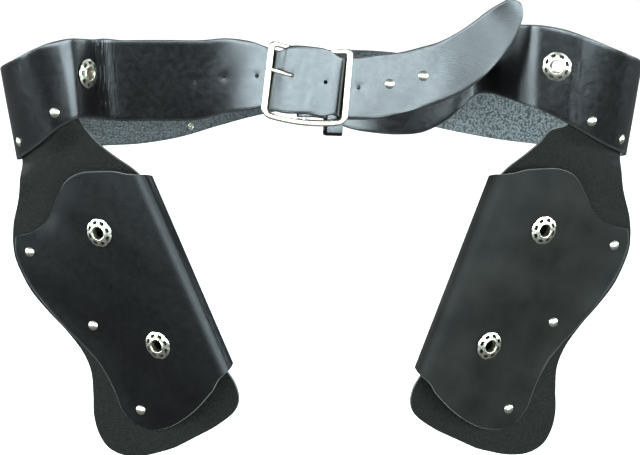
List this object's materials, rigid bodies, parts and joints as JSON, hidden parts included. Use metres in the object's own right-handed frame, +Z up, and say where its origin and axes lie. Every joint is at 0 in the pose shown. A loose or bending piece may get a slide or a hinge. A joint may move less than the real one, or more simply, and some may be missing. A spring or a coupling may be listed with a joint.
{
  "type": "cowboy belt",
  "caption": "Black leather gun belt buckled into its loop, with a folded holster riveted at each hip, a square nickel buckle, pierced conchos and cap rivets.",
  "frame": {"origin": "middle of the waist inside the loop, level with the buckle", "axes": "+X to the right as seen from the front, +Y from the buckle towards the back of the waist, +Z up"},
  "size_m": [0.4988, 0.2743, 0.3496],
  "materials": {
    "leather_smooth": "smooth black grain",
    "leather_rough": "black flesh side",
    "nickel": "polished nickel plate"
  },
  "bodies": {
    "root": {"belt_strap": "leather_smooth", "keeper_loop": "leather_smooth", "holster_pouch_left": "leather_smooth", "holster_pouch_right": "leather_smooth", "holster_back_left": "leather_rough", "holster_back_right": "leather_rough", "buckle_frame": "nickel", "buckle_prong": "nickel", "rivet_belt_left_a": "nickel", "rivet_belt_left_b": "nickel", "rivet_belt_right_a": "nickel", "rivet_belt_right_b": "nickel", "rivet_edge_top_left": "nickel", "rivet_edge_middle_left": "nickel", "rivet_edge_foot_left": "nickel", "rivet_edge_top_right": "nickel", "rivet_edge_middle_right": "nickel", "rivet_edge_foot_right": "nickel", "rivet_tongue_a": "nickel", "rivet_tongue_b": "nickel", "rivet_back": "nickel", "rivet_chape_upper": "nickel", "rivet_chape_lower": "nickel", "concho_belt_left": "nickel", "concho_belt_right": "nickel", "concho_upper_left": "nickel", "concho_lower_left": "nickel", "concho_upper_right": "nickel", "concho_lower_right": "nickel"}
  },
  "joints": []
}
